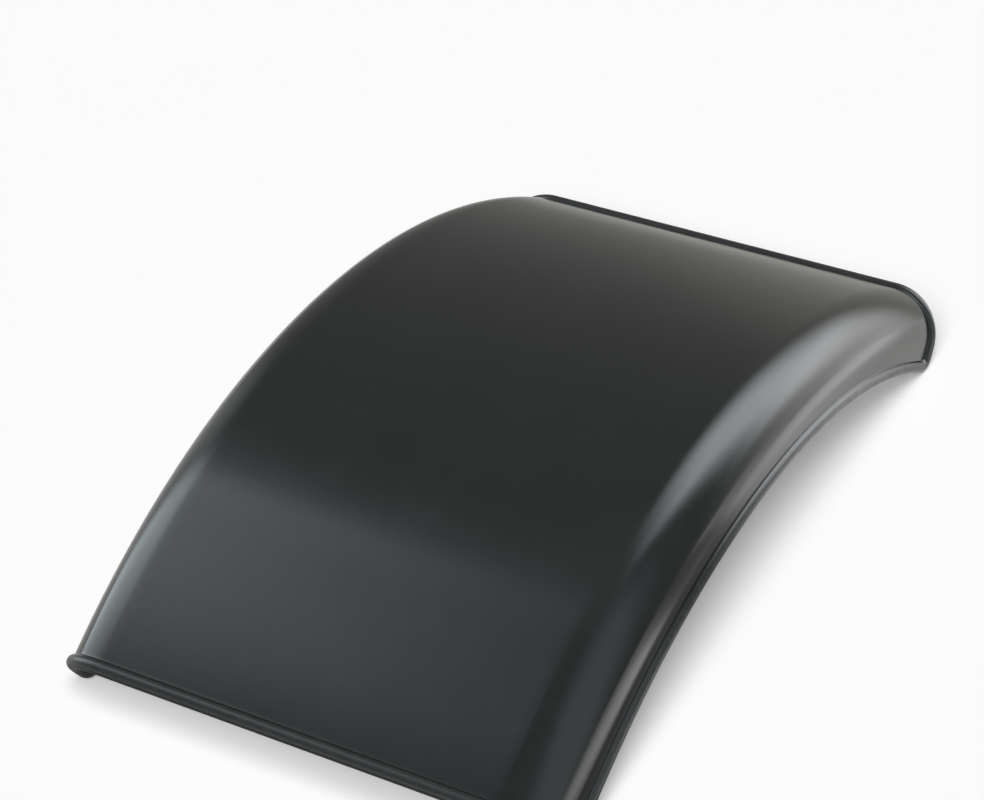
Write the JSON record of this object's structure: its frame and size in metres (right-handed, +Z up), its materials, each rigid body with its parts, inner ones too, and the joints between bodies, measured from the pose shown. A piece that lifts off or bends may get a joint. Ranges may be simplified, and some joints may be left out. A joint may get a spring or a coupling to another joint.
{
  "type": "half mudguard",
  "caption": "Arched half mudguard of moulded black plastic with a flat crown, rounded shoulders, short side walls and a round bead along its whole edge; it covers part of a wheel.",
  "frame": {"origin": "on the surface that the guard lies on, under the middle of its arch", "axes": "+X along the arc's length, +Y across the width, parallel to the wheel's axis, +Z up out of the crown"},
  "size_m": [0.7766, 0.4584, 0.1736],
  "materials": {
    "black_polyethylene": "moulded black polyethylene, smooth with a satin gloss"
  },
  "bodies": {
    "root": {"half_mudguard": "black_polyethylene"}
  },
  "joints": []
}
